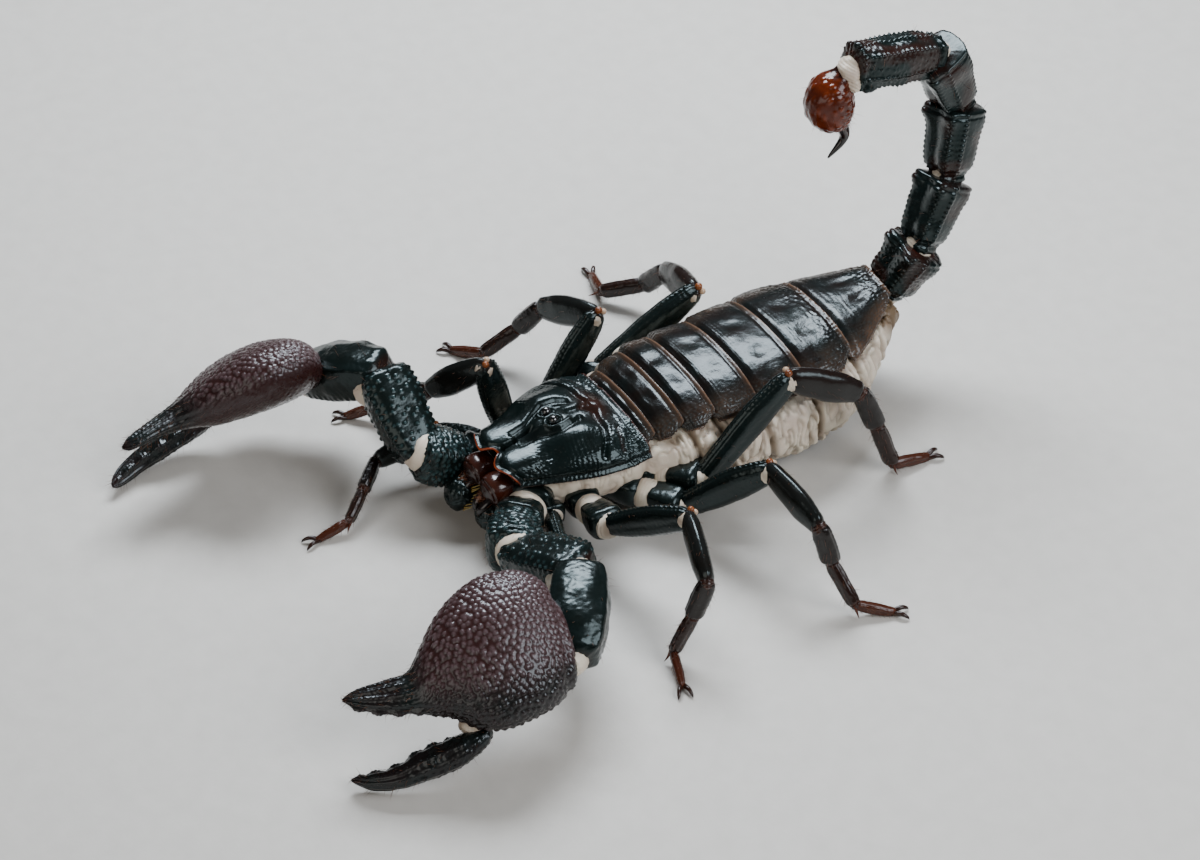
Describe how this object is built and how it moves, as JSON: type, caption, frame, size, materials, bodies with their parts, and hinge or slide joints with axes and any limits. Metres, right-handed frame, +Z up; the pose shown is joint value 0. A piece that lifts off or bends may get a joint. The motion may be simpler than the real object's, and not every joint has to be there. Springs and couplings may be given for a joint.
{
  "type": "scorpion model",
  "caption": "Life-size heavy-bodied black scorpion at rest on its belly, broad claws forward, tail raised and curled over its back.",
  "frame": {"origin": "bottom centre of the bounding box of the whole model, on the plane she rests on", "axes": "+Z up; -Y is the way she faces, +Y runs towards the tail; +X is her left side"},
  "size_m": [0.1038, 0.1552, 0.07],
  "materials": {
    "shell": "glossy green-black chitin, finely grained",
    "hand_shell": "maroon-black chitin, closely granulated",
    "brown_shell": "glossy dark red-brown chitin",
    "membrane": "satin cream skin between the plates, finely wrinkled",
    "telson_shell": "orange-brown chitin, bumpy, semi-gloss",
    "eye": "polished black"
  },
  "bodies": {
    "root": {"carapace": "shell", "prosoma_underside": "brown_shell", "mesosoma": "membrane", "tergite_1": "shell", "tergite_2": "shell", "tergite_3": "shell", "tergite_4": "shell", "tergite_5": "shell", "tergite_6": "shell", "tergite_7": "shell", "eye_left": "eye", "chelicera_left": "brown_shell", "pecten_left": "membrane", "pedipalp_left_trochanter": "shell", "pedipalp_left_femur": "shell", "pedipalp_left_patella": "shell", "pedipalp_left_manus": "hand_shell", "pedipalp_left_movable_finger": "shell", "eye_right": "eye", "chelicera_right": "brown_shell", "pecten_right": "membrane", "pedipalp_right_trochanter": "shell", "pedipalp_right_femur": "shell", "pedipalp_right_patella": "shell", "pedipalp_right_manus": "hand_shell", "pedipalp_right_movable_finger": "shell", "leg_left_1_femur": "shell", "leg_left_1_patella": "shell", "leg_left_1_foot": "brown_shell", "leg_left_2_femur": "shell", "leg_left_2_patella": "shell", "leg_left_2_foot": "brown_shell", "leg_left_3_femur": "shell", "leg_left_3_patella": "shell", "leg_left_3_foot": "brown_shell", "leg_left_4_femur": "shell", "leg_left_4_patella": "shell", "leg_left_4_foot": "brown_shell", "leg_right_1_femur": "shell", "leg_right_1_patella": "shell", "leg_right_1_foot": "brown_shell", "leg_right_2_femur": "shell", "leg_right_2_patella": "shell", "leg_right_2_foot": "brown_shell", "leg_right_3_femur": "shell", "leg_right_3_patella": "shell", "leg_right_3_foot": "brown_shell", "leg_right_4_femur": "shell", "leg_right_4_patella": "shell", "leg_right_4_foot": "brown_shell", "tail_1": "shell", "tail_2": "shell", "tail_3": "shell", "tail_4": "shell", "tail_5": "shell", "telson": "telson_shell", "stinger": "brown_shell"}
  },
  "joints": []
}
